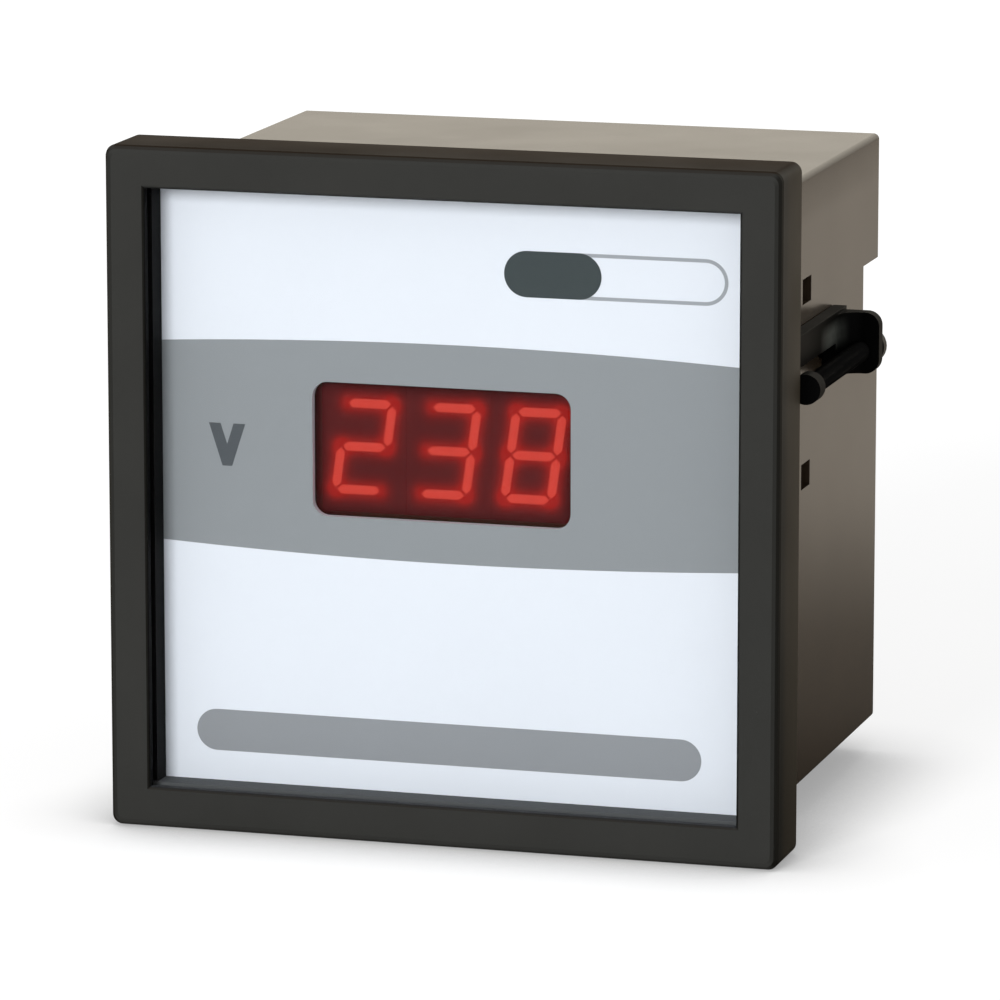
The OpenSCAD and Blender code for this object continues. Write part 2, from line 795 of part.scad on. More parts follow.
module terminal_block() {
    room = (pole_pitch - barrier_t) / 2;
    color("#1d1d1f") difference() {
        union() {
            box([-block_w / 2, block_w / 2], [block_y, inner_y - fit_gap],
                [board_top + rest_gap, block_z1]);
            box([-block_w / 2, block_w / 2], [inner_y - 1, block_end], [block_z0, block_z1]);
        }
        for (i = [0:poles - 1]) translate([pole_x(i), 0, 0]) {
            // Compartment, open to the rear and below
            box([-room, room], [floor_y, block_end + 1], [block_z0 - 1, pole_z + washer_w / 2 + 0.8]);
            // Clearance for the screw's end, and slot for the contact's tail
            rod_y(0, pole_z, washer_y + washer_t - terminal_shank_l - 1, floor_y + 1,
                terminal_screw_r + 0.4);
            box([-tail_w / 2 - 0.1, tail_w / 2 + 0.1], [tail_y - 0.1, floor_y + eps],
                [board_top - 1, tail_z + tail_t + 0.1]);
        }
    }
}

module terminal_contacts() {
    color("#c9a24a") for (i = [0:poles - 1]) translate([pole_x(i), 0, 0]) difference() {
        union() {
            box([-washer_w / 2 - 0.4, washer_w / 2 + 0.4], [contact_y, contact_y + contact_t],
                [tail_z, pole_z + washer_w / 2 + 0.4]);
            box([-tail_w / 2, tail_w / 2], [tail_y, contact_y + eps], [tail_z, tail_z + tail_t]);
            box([-tail_w / 2, tail_w / 2], [tail_y, tail_y + tail_t], [board_z - pin_poke, tail_z + eps]);
        }
        rod_y(0, pole_z, contact_y - 1, contact_y + contact_t + 1, terminal_screw_r + thread_gap);
    }
}

module wire_clamp(i) {
    color("#c5c8cc") translate([pole_x(i - 1), 0, 0]) difference() {
        along_y(washer_y, washer_y + washer_t) translate([0, pole_z])
            square(washer_w, center = true);
        rod_y(0, pole_z, washer_y - 1, washer_y + washer_t + 1, terminal_screw_r + thread_gap);
    }
}

module terminal_screw(i) {
    y = washer_y + washer_t + rest_gap;
    color("#c5c8cc") translate([pole_x(i - 1), 0, 0]) difference() {
        union() {
            rod_y(0, pole_z, y - terminal_shank_l, y + eps, terminal_screw_r);
            rod_y(0, pole_z, y, y + terminal_head_l, terminal_head_r);
        }
        // Cross recess
        for (w = [[1.9, 0.45], [0.45, 1.9]])
            box([-w[0], w[0]], [y + terminal_head_l - 1.2, y + terminal_head_l + 1],
                [pole_z - w[1], pole_z + w[1]]);
    }
}

// ---- side clamps ----

// One hook: a neck through the case's wall and a lip behind it
module hook(i) {
    inside = inner_w / 2 - hook_gap;
    box([inside - hook_t, plate_x + 1], [hook_y[i], hook_y[i] + hook_neck],
        [hook_zs[i] - hook_h / 2, hook_zs[i] + hook_h / 2]);
    box([inside - hook_t, inside], [hook_y[i] + hook_neck - eps, hook_y[i] + hook_neck + hook_lip],
        [hook_zs[i] - hook_h / 2, hook_zs[i] + hook_h / 2]);
}

module bracket() {
    plate_out = plate_x + bracket_t;
    tab_out = side_x + tab_reach;
    tab_z0 = plate_z0;
    tab_z1 = plate_z1 - 0.5;
    difference() {
        union() {
            // Plate on the case's side, with its narrower arm towards the panel
            box([plate_x, plate_out], [tab_y - bend_r - 1, tab_y + plate_l], [plate_z0, plate_z1]);
            box([plate_x, plate_out], [arm_y, tab_y], [plate_z1 - arm_h, plate_z1]);
            // Upright tab with rounded outer corners
            along_y(tab_y, tab_y + tab_t) {
                translate([plate_x, tab_z0]) square([tab_out - tab_corner_r - plate_x, tab_z1 - tab_z0]);
                translate([plate_x, tab_z0 + tab_corner_r])
                    square([tab_out - plate_x, tab_z1 - tab_z0 - 2 * tab_corner_r]);
                for (z = [tab_z0 + tab_corner_r, tab_z1 - tab_corner_r])
                    translate([tab_out - tab_corner_r, z]) circle(tab_corner_r);
            }
            // Hollow bend between plate and tab
            difference() {
                box([plate_out - eps, plate_out + bend_r], [tab_y - bend_r, tab_y + eps], [tab_z0, tab_z1]);
                translate([plate_out + bend_r, tab_y - bend_r, tab_z0 - 1])
                    cylinder(h = bracket_h + 2, r = bend_r);
            }
            for (i = [0:1]) hook(i);
        }
        rod_y(screw_x, screw_z, tab_y - bend_r - 2, tab_y + tab_t + 1, clamp_screw_r + thread_gap);
    }
}

module clamp_screw() {
    head_y = screw_head_y;
    difference() {
        union() {
            rod_y(screw_x, screw_z, pad_gap + pad_l + 0.1, head_y + eps, clamp_screw_r);
            rod_y(screw_x, screw_z, pad_gap + pad_l - tip_l + 0.1, pad_gap + pad_l + 0.2, tip_r);
            rod_y(screw_x, screw_z, head_y, head_y + screw_head_l, screw_head_r);
        }
        box([screw_x - slot_w / 2, screw_x + slot_w / 2],
            [head_y + screw_head_l - 1.1, head_y + screw_head_l + 1],
            [screw_z - screw_head_r - 1, screw_z + screw_head_r + 1]);
    }
}

module clamp_pad() {
    difference() {
        rod_y(screw_x, screw_z, pad_gap, pad_gap + pad_l, pad_r);
        rod_y(screw_x, screw_z, pad_gap + pad_l - tip_l, pad_gap + pad_l + 1, tip_r + thread_gap);
    }
}

bezel();
window_pane();
spacer_frame();
faceplate();
display_filter();
digit_body(0);  // digit_1
digit_body(1);  // digit_2
digit_body(2);  // digit_3
lit_segments();
dark_segments();
display_board();
board_screws();
converter_chip();
board_header();
main_board();
transformer_core();
transformer_winding();
filter_capacitors();
rectifier_diodes();
voltage_regulator();
divider_resistors();
varistor();
crystal();
trimmer_body();
trimmer_rotor();
case();
terminal_block();
terminal_contacts();
terminal_screw(1);  // terminal_screw_1
terminal_screw(2);  // terminal_screw_2
terminal_screw(3);  // terminal_screw_3
terminal_screw(4);  // terminal_screw_4
wire_clamp(1);  // wire_clamp_1
wire_clamp(2);  // wire_clamp_2
wire_clamp(3);  // wire_clamp_3
wire_clamp(4);  // wire_clamp_4
color("#141414") on_side(1) bracket();  // bracket_right
color("#141414") on_side(-1) bracket();  // bracket_left
color("#2b2a28") on_side(1) clamp_screw();  // clamp_screw_right
color("#2b2a28") on_side(-1) clamp_screw();  // clamp_screw_left
color("#1a1a1a") on_side(1) clamp_pad();  // clamp_pad_right
color("#1a1a1a") on_side(-1) clamp_pad();  // clamp_pad_left
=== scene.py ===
"""Looks of a square digital panel meter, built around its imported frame.

Every length is in metres in the frame's own axes: +X right, +Y into the panel, +Z up.
The shapes of the moulded parts come from the frame. Made here are the finishes, the
faceplate's printed fields, the tinted lens, the clamp screws with their threads, and
the stage.
"""
import math

import bmesh
import bpy
from mathutils import Matrix, Vector


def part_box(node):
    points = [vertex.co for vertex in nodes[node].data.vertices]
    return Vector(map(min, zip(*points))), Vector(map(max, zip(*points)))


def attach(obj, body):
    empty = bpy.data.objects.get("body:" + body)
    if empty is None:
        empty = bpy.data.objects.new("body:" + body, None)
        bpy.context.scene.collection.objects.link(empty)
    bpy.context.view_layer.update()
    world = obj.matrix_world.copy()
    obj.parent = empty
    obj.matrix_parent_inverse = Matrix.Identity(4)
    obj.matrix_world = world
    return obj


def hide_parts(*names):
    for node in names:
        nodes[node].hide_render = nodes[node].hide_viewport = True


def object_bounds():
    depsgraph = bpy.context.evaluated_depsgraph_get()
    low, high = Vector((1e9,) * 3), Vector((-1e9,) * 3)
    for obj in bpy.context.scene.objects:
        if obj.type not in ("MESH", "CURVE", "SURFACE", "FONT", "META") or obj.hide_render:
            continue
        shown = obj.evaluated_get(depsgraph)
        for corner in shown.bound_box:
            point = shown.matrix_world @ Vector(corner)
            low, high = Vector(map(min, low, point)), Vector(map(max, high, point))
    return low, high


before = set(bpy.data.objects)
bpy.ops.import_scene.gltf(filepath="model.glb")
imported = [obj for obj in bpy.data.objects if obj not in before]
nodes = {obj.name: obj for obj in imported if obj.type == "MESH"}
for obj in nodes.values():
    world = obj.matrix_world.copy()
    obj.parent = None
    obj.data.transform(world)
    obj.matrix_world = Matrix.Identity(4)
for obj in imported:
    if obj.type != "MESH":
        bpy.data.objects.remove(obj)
cad_lo, cad_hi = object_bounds()
scene = bpy.context.scene


# ---------------------------------------------------------------- sizes

MM = 0.001
WELD = 0.0001 * MM
bezel_lo, bezel_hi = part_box("bezel")
plate_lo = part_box("faceplate")[0]
filter_lo, filter_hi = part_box("display_filter")
case_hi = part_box("case")[1]
bracket_lo, bracket_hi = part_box("bracket_right")
screw_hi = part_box("clamp_screw_right")[1]

# Half of the frame's opening, and the window that the printed band leaves for the display
RIM_W = 5.8 * MM
OPENING_HALF = bezel_hi.x - RIM_W
WINDOW_MARGIN = 2.4 * MM
WINDOW_R = 2.2 * MM
window_cx = (filter_lo.x + filter_hi.x) / 2
window_cz = (filter_lo.z + filter_hi.z) / 2
window_w = filter_hi.x - filter_lo.x - 2 * WINDOW_MARGIN
window_h = filter_hi.z - filter_lo.z - 2 * WINDOW_MARGIN

# Grid of the lens, how far its painted rim shade reaches in, and the fading of the painted glow
LENS_STEP = 0.3 * MM
LENS_RIM_PAINTED_SHADE = 2.0 * MM
HALO = 1.25 * MM
HALO_REACH = 3

# Clamp screws; corners of their rings, and rings in each turn of the thread
SHANK_R, TIP_R, PITCH, THREAD_DEPTH = 1.5 * MM, 0.9 * MM, 0.5 * MM, 0.3 * MM
HEAD_L, TIP_L, SLOT_W, SLOT_D = 2 * MM, 2 * MM, 0.8 * MM, 1.1 * MM
TIP_CHAMFER, HEAD_CHAMFER, UNDERCUT = 0.25 * MM, 0.25 * MM, 0.05 * MM
TIP_END_SHARE = 0.8
AROUND, PER_TURN = 28, 8

# Where a highlight is painted on the brackets' outer faces: begins, full, still full, ends
HIGHLIGHT_PAINTED_ALONG = (bracket_lo.y + 13 * MM, bracket_lo.y + 18 * MM,
             bracket_hi.y - 6.4 * MM, bracket_hi.y - 2.9 * MM)
HIGHLIGHT_PAINTED_ACROSS = (bracket_lo.z + 3.7 * MM, bracket_lo.z + 5.4 * MM,
              bracket_hi.z - 2.5 * MM, bracket_hi.z - 0.8 * MM)

# How far below the case's top edge its sides are duller, a painted shade band of lower gloss
EDGE_FADE = 7 * MM


# ---------------------------------------------------------------- tones

def linear(r, g, b):
    """Linear colour of a screen colour given as 0 to 255."""
    out = []
    for v in (r, g, b):
        v /= 255
        out.append(v / 12.92 if v <= 0.04045 else ((v + 0.055) / 1.055) ** 2.4)
    return out


def shade(colour, factor):
    """Darker or lighter colour, no channel above 1."""
    return [min(1.0, c * factor) for c in colour]


def grey(level):
    return (level, level, level)


BEZEL_TONE = linear(46, 46, 44)
# Painted shade on the frame: its top and right side darker and warmer than its front, darkest at
# the rounded edges
FRAME_TOP_PAINTED_SHADE = linear(30, 22, 14)
FRAME_SIDE_PAINTED_SHADE = linear(42, 37, 28)
FRAME_EDGE_PAINTED_SHADE = linear(17, 16, 12)
# Painted shade in the frame's mouth, and painted light on its upward ledges
MOUTH_PAINTED_SHADE = grey(0.002)
MOUTH_LEDGE_PAINTED_LIGHT = (0.04, 0.042, 0.045)
CASE_TONE = (0.05, 0.034, 0.021)
# Gloss of the case, and the lower gloss that paints a shade band on its sides under the top edge
CASE_GLOSS, CASE_GLOSS_PAINTED_SHADE = 0.5, 0.09
# Painted highlight on the brackets' outer faces
PAINTED_HIGHLIGHT_TONE = (0.1, 0.108, 0.098)
# Painted light on the spacer's upward ledge and the front edge below it
SPACER_PAINTED_LIGHT = (0.1, 0.106, 0.11)
SCREW_HEAD_TONE = (0.007, 0.0068, 0.0065)
LENS_TONE = (0.155, 0.018, 0.019)
LENS_ALPHA = 0.32
# Glow painted on the lens around the lit segments
PAINTED_GLOW_TONE = (1.0, 0.012, 0.0)
PAINTED_GLOW_STRENGTH = 1.15
LIT_TONE = (1.0, 0.17, 0.11)
LIT_STRENGTH = 0.41
LABEL_TONE = linear(233, 240, 249)
BAND_TONE = linear(143, 149, 153)
TITLE_TONE = linear(146, 151, 156)
TYPE_LINE_TONE = linear(160, 166, 172)
TYPE_FILL_TONE = linear(56, 66, 68)
UNIT_TONE = linear(77, 83, 88)
INK_VARY = 0.02


# ---------------------------------------------------------------- nodes

# Most of a noise texture's values lie between these two
NOISE_LOW, NOISE_HIGH = 0.3, 0.7
# Part of a normal along an axis where a surface begins to face it, and where it fully does
FACING_LOW, FACING_HIGH = 0.55, 0.95


class Nodes:
    """A node tree, with short ways to add nodes and to feed them."""

    def __init__(self, tree):
        self.tree = tree

    def add(self, kind, **settings):
        """New node; kind is its type without ShaderNode in front."""
        node = self.tree.nodes.new("ShaderNode" + kind)
        for key, value in settings.items():
            setattr(node, key, value)
        return node

    def give(self, socket, value):
        """Feeds an input from another node's socket or a constant."""
        if isinstance(value, bpy.types.NodeSocket):
            self.tree.links.new(value, socket)
        else:
            socket.default_value = (*value, 1.0) if socket.type == "RGBA" else value

    def put(self, node, **values):
        """Feeds a node's inputs by name, with underscores for spaces."""
        for key, value in values.items():
            self.give(node.inputs[key.replace("_", " ")], value)
        return node

    def feed(self, node, *values):
        """Feeds a node's inputs in their order, and returns its first output."""
        for value, socket in zip(values, node.inputs):
            self.give(socket, value)
        return node.outputs[0]

    def calc(self, operation, *values):
        return self.feed(self.add("Math", operation=operation), *values)

    def part(self, source, axis):
        """One component of a texture coordinate, such as Object or Normal."""
        split = self.add("SeparateXYZ")
        self.feed(split, self.add("TexCoord").outputs[source])
        return split.outputs[axis]

    def unsigned(self, source, axis):
        """Such a component without its sign."""
        return self.calc("ABSOLUTE", self.part(source, axis))

    def span(self, value, low, high, start=NOISE_LOW, end=NOISE_HIGH):
        """From low to high as value goes from start to end, and level outside them."""
        node = self.put(self.add("MapRange"), Value=value, From_Min=start, From_Max=end,
                        To_Min=low, To_Max=high)
        return node.outputs["Result"]

    def rise(self, value, start, end):
        return self.span(value, 0.0, 1.0, start, end)

    def fall(self, value, start, end):
        return self.span(value, 1.0, 0.0, start, end)

    def band(self, value, limits):
        """1 between the middle two of four limits, fading to 0 at the outer two."""
        begins, full, still_full, ends = limits
        return self.calc("MINIMUM", self.rise(value, begins, full),
                         self.fall(value, still_full, ends))

    def ramp(self, value, stops):
        """Colour by value, from stops of a place and a colour."""
        node = self.put(self.add("ValToRGB"), Fac=value)
        elements = node.color_ramp.elements
        while len(elements) < len(stops):
            elements.new(0.5)
        for element, (place, colour) in zip(elements, stops):
            element.position = place
            element.color = (*colour, 1.0)
        return node.outputs["Color"]

    def between(self, noise, first, second):
        """Colour that a noise mixes from two."""
        return self.ramp(noise, [(NOISE_LOW, first), (NOISE_HIGH, second)])

    def mottled(self, noise, colour, vary):
        """Colour that a noise takes a share below and above itself."""
        return self.between(noise, shade(colour, 1 - vary), shade(colour, 1 + vary))

    def blend(self, share, first, second):
        """Colour mix; first and second are sockets or constant colours."""
        node = self.put(self.add("Mix", data_type="RGBA"), Factor=share)
        first_in, second_in = (socket for socket in node.inputs if socket.type == "RGBA")
        self.give(first_in, first)
        self.give(second_in, second)
        return next(socket for socket in node.outputs if socket.type == "RGBA")


class Finish(Nodes):
    """A principled material with procedural nodes."""

    def __init__(self, name):
        self.material = bpy.data.materials.new(name)
        self.material.use_nodes = True
        super().__init__(self.material.node_tree)
        self.bsdf = self.tree.nodes["Principled BSDF"]
        self.coords = self.add("TexCoord").outputs["Object"]

    def surface(self, **values):
        """Feeds inputs of the principled shader."""
        self.put(self.bsdf, **values)

    def specular(self, share, usual, other):
        """Specular level: usual where share is 0, and kept as the socket's own constant, and
        other where share is 1."""
        self.surface(Specular_IOR_Level=usual)
        self.surface(Specular_IOR_Level=self.span(share, usual, other, 0.0, 1.0))

    def noise(self, scale, detail, rough=0.5, stretch=(1, 1, 1)):
        """Cloudy value with about as many features in a metre as scale says."""
        mapping = self.put(self.add("Mapping"), Vector=self.coords, Scale=stretch)
        node = self.put(self.add("TexNoise"), Vector=mapping.outputs["Vector"], Scale=scale,
                        Detail=detail, Roughness=rough)
        return node.outputs["Fac"]

    def facing(self, axis):
        """1 where the surface faces along an axis, such as "Z" or "-Y", and 0 elsewhere."""
        sign = -1 if axis[0] == "-" else 1
        normal = self.part("Normal", axis[-1])
        return self.rise(normal, sign * FACING_LOW, sign * FACING_HIGH)

    def bumps(self, layers, edge=0.0):
        """Stacks bump layers (height, strength, distance); edge softens sharp corners."""
        normal = None
        if edge:
            normal = self.put(self.add("Bevel", samples=4), Radius=edge).outputs["Normal"]
        for height, strength, distance in layers:
            bump = self.put(self.add("Bump"), Height=height, Strength=strength,
                            Distance=distance)
            if normal:
                self.put(bump, Normal=normal)
            normal = bump.outputs["Normal"]
        self.surface(Normal=normal)


# ---------------------------------------------------------------- materials

def moulded(name, colour, rough=(0.4, 0.5), grain=0.25 * MM, depth=0.012 * MM, vary=0.12,
            edge=0.12 * MM, wave=0.03 * MM, **constants):
    """Finish of moulded plastic: cloudy tone, fine spark-eroded grain and uneven gloss."""
    f = Finish(name)
    f.surface(Base_Color=f.mottled(f.noise(45, 4, 0.6), colour, vary),
              Roughness=f.span(f.noise(60, 2), *rough), **constants)
    f.bumps([(f.noise(1 / grain, 2, 0.6), 0.5, depth), (f.noise(40, 1), 0.25, wave)], edge)
    return f


def plastic(*args, **settings):
    return moulded(*args, **settings).material


def metal(name, colour, rough=(0.25, 0.4), stretch=(1, 1, 1), scale=900):
    """Plated or bare metal: drawn or rolled streaks and smudged gloss."""
    f = Finish(name)
    streak = f.noise(scale, 3, 0.6, stretch)
    f.surface(Base_Color=f.mottled(streak, colour, 0.1),
              Roughness=f.span(f.noise(220, 3, 0.6), *rough), Metallic=1.0)
    f.bumps([(streak, 0.35, 0.01 * MM)], 0.08 * MM)
    return f.material


def printed(name, colour):
    """Screen-printed ink: even tone with the faint mottle of ink on a film."""
    f = Finish(name)
    mottle = f.noise(520, 3, 0.6)
    broad = f.mottled(f.noise(30, 2, 0.5), colour, INK_VARY)
    f.surface(Base_Color=f.blend(mottle, broad, shade(colour, 1 - INK_VARY / 2)),
              Roughness=f.span(mottle, 0.38, 0.48))
    f.bumps([(mottle, 0.15, 0.006 * MM)])
    return f.material


def laminate():
    """Green solder mask over woven glass cloth, with tracks showing as faint lines."""
    f = Finish("solder_mask")
    track = f.put(f.add("TexBrick", offset=0.5, squash=1.0), Vector=f.coords, Scale=320,
                  Mortar_Size=0.06, Color1=(0.012, 0.085, 0.03), Color2=(0.014, 0.1, 0.036),
                  Mortar=(0.03, 0.17, 0.06))
    weave = f.noise(2600, 1, 0.5)
    f.surface(Base_Color=track.outputs["Color"], Roughness=f.span(weave, 0.28, 0.4))
    f.bumps([(track.outputs["Fac"], 0.4, 0.03 * MM), (weave, 0.2, 0.01 * MM)])
    return f.material


def winding():
    """Varnished tape over a wound coil: fine turns along Z."""
    f = Finish("taped_winding")
    turns = f.put(f.add("TexWave", wave_type="BANDS", bands_direction="Z"), Vector=f.coords,
                  Scale=260, Distortion=0.4).outputs["Fac"]
    f.surface(Base_Color=f.ramp(turns, [(0.2, (0.2, 0.075, 0.02)), (0.8, (0.42, 0.19, 0.05))]),
              Roughness=0.32)
    f.bumps([(turns, 0.6, 0.1 * MM)])
    return f.material


def clear_sheet():
    """Polished clear acrylic: almost nothing but its gloss shows."""
    f = Finish("clear_acrylic")
    f.surface(Base_Color=grey(0.004), Alpha=0.04, Specular_IOR_Level=0.8,
              Roughness=f.span(f.noise(70, 2), 0.02, 0.06))
    f.bumps([(f.noise(25, 2), 0.05, 0.02 * MM)])
    return f.material


def tinted_lens():
    """Dark red sheet that shows what is lit behind it: painted shade along its window's rim, with
    the painted glow that its mesh carries on the rear face."""
    f = Finish("lens_red")
    # Painted shade: darker towards each edge of the window
    rim = None
    for axis, middle, size in (("X", window_cx, window_w), ("Z", window_cz, window_h)):
        place = f.part("Object", axis)
        for side in (-1, 1):
            edge = middle + side * size / 2
            near = f.fall(place, edge, edge - side * LENS_RIM_PAINTED_SHADE)
            rim = f.calc("MAXIMUM", rim, near) if rim else near
    tone = f.between(f.noise(120, 3), LENS_TONE, shade(LENS_TONE, 1.12))
    # Painted glow around the lit segments, carried by the rear grid's points
    glow = f.add("Attribute", attribute_name="glow").outputs["Fac"]
    f.surface(Base_Color=f.blend(rim, tone, shade(LENS_TONE, 0.3)),
              Roughness=f.span(f.noise(200, 2), 0.22, 0.3), Specular_IOR_Level=0.25,
              Alpha=LENS_ALPHA, Emission_Color=PAINTED_GLOW_TONE,
              Emission_Strength=f.span(glow, 0.0, PAINTED_GLOW_STRENGTH, 0.0, 1.0))
    return f.material


def lit_plastic():
    """Light pipe that shines evenly, a little cooler where it mottles."""
    f = Finish("lit_red")
    mottle = f.noise(700, 2, 0.6)
    f.surface(Base_Color=f.between(mottle, shade(LIT_TONE, 0.3), shade(LIT_TONE, 0.35)),
              Emission_Color=f.between(mottle, shade(LIT_TONE, 0.85), LIT_TONE),
              Emission_Strength=LIT_STRENGTH, Roughness=0.5)
    return f.material


def bezel_plastic():
    """Charcoal moulding with painted shade: top and right side darker and warmer, the right side
    darkest at the front, the rounded edges beside the front dark, and a dark mouth with painted
    light on its ledges."""
    f = Finish("bezel_plastic")
    y = f.part("Object", "Y")
    up = f.facing("Z")
    along = f.rise(y, bezel_lo.y + MM, -MM)
    # Painted shade on the top face: darker and warmer than the front, lighter towards the back
    ledge = f.ramp(along, [(0.2, FRAME_TOP_PAINTED_SHADE), (0.9, shade(FRAME_TOP_PAINTED_SHADE, 1.5))])
    # Painted shade on the right side only: darkest at the front edge, lighter towards the back
    side = f.ramp(along, [(0.0, FRAME_EDGE_PAINTED_SHADE), (0.15, shade(FRAME_EDGE_PAINTED_SHADE, 1.2)),
                          (0.4, FRAME_SIDE_PAINTED_SHADE), (1.0, shade(FRAME_SIDE_PAINTED_SHADE, 1.5))])
    # Painted shade on the rounded edges where the front or back meets a side
    corner = f.calc("MULTIPLY", f.unsigned("Normal", "X"), f.unsigned("Normal", "Y"))
    tone = f.mottled(f.noise(45, 4, 0.6), BEZEL_TONE, 0.07)
    tone = f.blend(up, tone, ledge)
    tone = f.blend(f.facing("X"), tone, side)
    tone = f.blend(f.rise(corner, 0.12, 0.4), tone, FRAME_EDGE_PAINTED_SHADE)
    # Painted shade inside the mouth, behind the front face and within the opening, with painted
    # light where it faces up
    depth = f.rise(y, bezel_lo.y + 0.1 * MM, bezel_lo.y + 0.4 * MM)
    reach = f.calc("MAXIMUM", f.unsigned("Object", "X"), f.unsigned("Object", "Z"))
    within = f.fall(reach, OPENING_HALF + 1.2 * MM, OPENING_HALF + 1.7 * MM)
    inside = f.calc("MULTIPLY", depth, within)
    mouth = f.blend(up, MOUTH_PAINTED_SHADE, MOUTH_LEDGE_PAINTED_LIGHT)
    f.surface(Base_Color=f.blend(inside, tone, mouth), Roughness=f.span(f.noise(60, 2), 0.5, 0.6))
    # Less sheen on the top and in the mouth, part of the painted shade
    f.specular(f.calc("MAXIMUM", inside, up), 0.15, 0.022)
    f.bumps([(f.noise(3600, 2, 0.6), 0.5, 0.02 * MM), (f.noise(40, 1), 0.25, 0.02 * MM)],
            0.15 * MM)
    return f.material


def bracket_paint():
    """Black paint, with a grey highlight painted in a streak along the outer face, short of the
    bend.
    """
    f = Finish("bracket_paint")
    black = f.between(f.noise(90, 3), grey(0.001), (0.002, 0.002, 0.0019))
    side = f.rise(f.unsigned("Normal", "X"), 0.35, 0.75)
    # Painted highlight: a patchy grey streak on the faces that look sideways
    streak = f.calc("MULTIPLY", f.band(f.part("Object", "Y"), HIGHLIGHT_PAINTED_ALONG),
                    f.band(f.part("Object", "Z"), HIGHLIGHT_PAINTED_ACROSS))
    painted_highlight = f.calc("MULTIPLY", side, streak)
    patchy_highlight = f.calc("MULTIPLY", painted_highlight, f.span(f.noise(420, 3, 0.7), 0.6, 1.0))
    f.surface(Base_Color=f.blend(patchy_highlight, black, PAINTED_HIGHLIGHT_TONE),
              Roughness=f.span(f.noise(60, 2), 0.4, 0.5))
    # More sheen where the highlight is painted
    f.specular(painted_highlight, 0.03, 0.14)
    f.bumps([(f.noise(2500, 2, 0.6), 0.4, 0.01 * MM)], 0.15 * MM)
    return f.material


def spacer_plastic():
    """Black spacer with painted light on its upward ledge and on the front edge below it."""
    f = Finish("black_spacer")
    low = f.fall(f.part("Object", "Z"), -OPENING_HALF, -OPENING_HALF + 0.3 * MM)
    below = f.calc("MULTIPLY", f.facing("-Y"), low)
    black = f.between(f.noise(90, 3), (0.0015, 0.0015, 0.0016), (0.003, 0.003, 0.0032))
    f.surface(Base_Color=f.blend(f.calc("MAXIMUM", f.facing("Z"), below), black, SPACER_PAINTED_LIGHT),
              Roughness=0.6, Specular_IOR_Level=0.04)
    f.bumps([(f.noise(2500, 2), 0.3, 0.01 * MM)])
    return f.material


def case_plastic():
    """Glossy brown moulding, with a painted shade band of lower gloss on its sides just under the
    top edge.
    """
    f = moulded("case_plastic", CASE_TONE, (0.22, 0.26), grain=0.5 * MM, depth=0.003 * MM,
                vary=0.08, edge=0.15 * MM, wave=0.006 * MM)
    # Painted shade band: less gloss on the sides, most just under the top edge
    side = f.rise(f.unsigned("Normal", "X"), FACING_LOW, FACING_HIGH)
    height = f.rise(f.part("Object", "Z"), case_hi.z - EDGE_FADE, case_hi.z)
    painted_shade_under_edge = f.ramp(height, [(0.0, grey(0.0)), (0.3, grey(0.52)), (1.0, grey(1.0))])
    f.specular(f.calc("MULTIPLY", side, painted_shade_under_edge), CASE_GLOSS, CASE_GLOSS_PAINTED_SHADE)
    return f.material


def screw_steel():
    """Black oxide: dull on the threaded shank, with a sheen on the head."""
    f = Finish("blackened_screw")
    head_y = screw_hi.y - HEAD_L
    head = f.rise(f.part("Object", "Y"), head_y - 0.1 * MM, head_y)
    dull = f.between(f.noise(500, 3, 0.6, stretch=(1, 6, 1)), grey(0.0028), grey(0.004))
    f.surface(Base_Color=f.blend(head, dull, SCREW_HEAD_TONE),
              Roughness=f.span(f.noise(220, 3, 0.6), 0.34, 0.44))
    f.specular(head, 0.03, 0.1)
    f.bumps([(f.noise(900, 3, 0.6), 0.35, 0.01 * MM)], 0.08 * MM)
    return f.material


# ---------------------------------------------------------------- finish of the CAD nodes

def paint(obj, material):
    obj.data.materials.clear()
    obj.data.materials.append(material)


def dress(material, *names):
    """Gives a material to CAD nodes."""
    for name in names:
        paint(nodes[name], material)


def copies(name):
    """Names of a piece's copies, which end in a number or a side."""
    return [node for node in nodes if node.startswith(name + "_")]


dress(bezel_plastic(), "bezel")
dress(clear_sheet(), "window_pane")
dress(spacer_plastic(), "spacer_frame")
dress(printed("label_white", LABEL_TONE), "faceplate")
dress(plastic("digit_moulding", (0.06, 0.006, 0.006), edge=0, Specular_IOR_Level=0.05),
      *copies("digit"))
dress(lit_plastic(), "lit_segments")
dress(plastic("unlit_red", (0.065, 0.006, 0.006), (0.35, 0.45), edge=0, Specular_IOR_Level=0.05),
      "dark_segments")
dress(laminate(), "display_board", "main_board")
dress(metal("zinc_plate", (0.62, 0.63, 0.66), (0.22, 0.36)),
      "board_screws", *copies("terminal_screw"), *copies("wire_clamp"))
dress(plastic("black_epoxy", (0.012, 0.012, 0.013)),
      "converter_chip", "board_header", "rectifier_diodes", "voltage_regulator")
dress(metal("core_laminations", (0.16, 0.16, 0.17), (0.4, 0.55), (0.2, 30, 0.2), 120),
      "transformer_core")
dress(winding(), "transformer_winding")
dress(plastic("capacitor_sleeve", (0.02, 0.035, 0.1), (0.25, 0.35)), "filter_capacitors")
dress(plastic("resistor_lacquer", (0.16, 0.34, 0.45), (0.25, 0.35)), "divider_resistors")
dress(plastic("varistor_lacquer", (0.03, 0.12, 0.38), (0.25, 0.35)), "varistor")
dress(metal("crystal_can", (0.7, 0.71, 0.73), (0.2, 0.35)), "crystal")
dress(plastic("trimmer_body", (0.04, 0.15, 0.45), (0.35, 0.45)), "trimmer_body")
dress(plastic("trimmer_rotor", (0.75, 0.75, 0.7), (0.35, 0.45)), "trimmer_rotor")
dress(case_plastic(), "case")
dress(plastic("terminal_moulding", (0.012, 0.012, 0.013), edge=0.15 * MM), "terminal_block")
